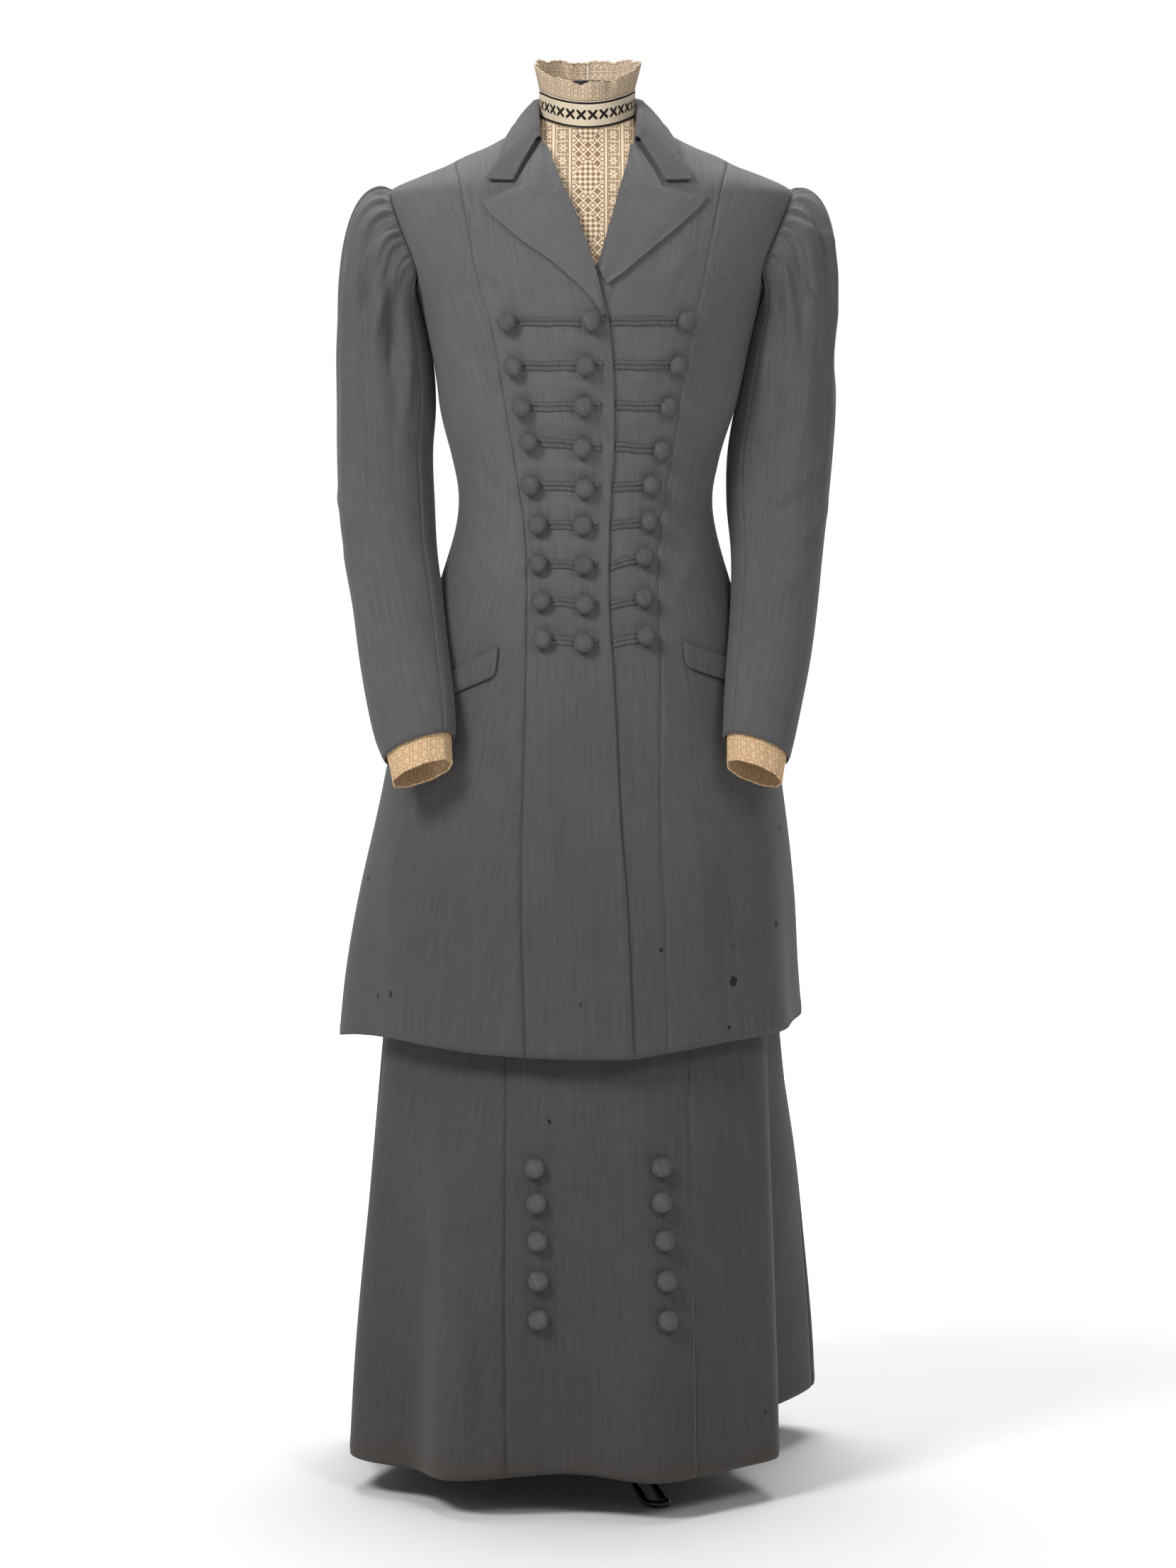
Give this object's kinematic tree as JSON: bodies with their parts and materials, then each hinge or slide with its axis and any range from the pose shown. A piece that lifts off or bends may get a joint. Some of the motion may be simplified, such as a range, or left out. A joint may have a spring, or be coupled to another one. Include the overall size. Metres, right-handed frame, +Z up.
{
  "type": "walking suit on a dress form",
  "caption": "Fitted grey wool jacket and gored skirt with covered buttons and a lace chemisette, on a limbless black dress form with a rod stand.",
  "frame": {"origin": "middle of the bounding box at floor level", "axes": "+Z up, -Y the front of the suit, +X the viewer's right"},
  "size_m": [0.5112, 0.553, 1.4494],
  "materials": {
    "jacket_wool": "matte",
    "skirt_wool": "matte",
    "covered_button": "matte",
    "lace": "matte",
    "form_cover": "matte",
    "rod": "gloss"
  },
  "bodies": {
    "root": {"jacket_front_left": "jacket_wool", "jacket_side_front_left": "jacket_wool", "jacket_side_back_left": "jacket_wool", "jacket_back_left": "jacket_wool", "jacket_front_right": "jacket_wool", "jacket_side_front_right": "jacket_wool", "jacket_side_back_right": "jacket_wool", "jacket_back_right": "jacket_wool", "lapel_left": "jacket_wool", "lapel_right": "jacket_wool", "collar": "jacket_wool", "sleeve_left_upper": "jacket_wool", "sleeve_left_under": "jacket_wool", "sleeve_right_upper": "jacket_wool", "sleeve_right_under": "jacket_wool", "pocket_flap_left": "jacket_wool", "pocket_flap_right": "jacket_wool", "fastening_left_1": "covered_button", "fastening_left_2": "covered_button", "fastening_left_3": "covered_button", "fastening_left_4": "covered_button", "fastening_left_5": "covered_button", "fastening_left_6": "covered_button", "fastening_left_7": "covered_button", "fastening_left_8": "covered_button", "fastening_left_9": "covered_button", "fastening_right_1": "covered_button", "fastening_right_2": "covered_button", "fastening_right_3": "covered_button", "fastening_right_4": "covered_button", "fastening_right_5": "covered_button", "fastening_right_6": "covered_button", "fastening_right_7": "covered_button", "fastening_right_8": "covered_button", "fastening_right_9": "covered_button", "skirt_button_left_1": "covered_button", "skirt_button_left_2": "covered_button", "skirt_button_left_3": "covered_button", "skirt_button_left_4": "covered_button", "skirt_button_left_5": "covered_button", "skirt_button_right_1": "covered_button", "skirt_button_right_2": "covered_button", "skirt_button_right_3": "covered_button", "skirt_button_right_4": "covered_button", "skirt_button_right_5": "covered_button", "skirt_back_left": "skirt_wool", "skirt_side_left": "skirt_wool", "skirt_front": "skirt_wool", "skirt_side_right": "skirt_wool", "skirt_back_right": "skirt_wool", "skirt_waistband": "skirt_wool", "chemisette_band": "lace", "chemisette_frill": "lace", "chemisette_vest": "lace", "lace_cuff_left": "lace", "lace_cuff_right": "lace", "dress_form": "form_cover", "stand_pole": "rod", "stand_base": "rod"}
  },
  "joints": []
}
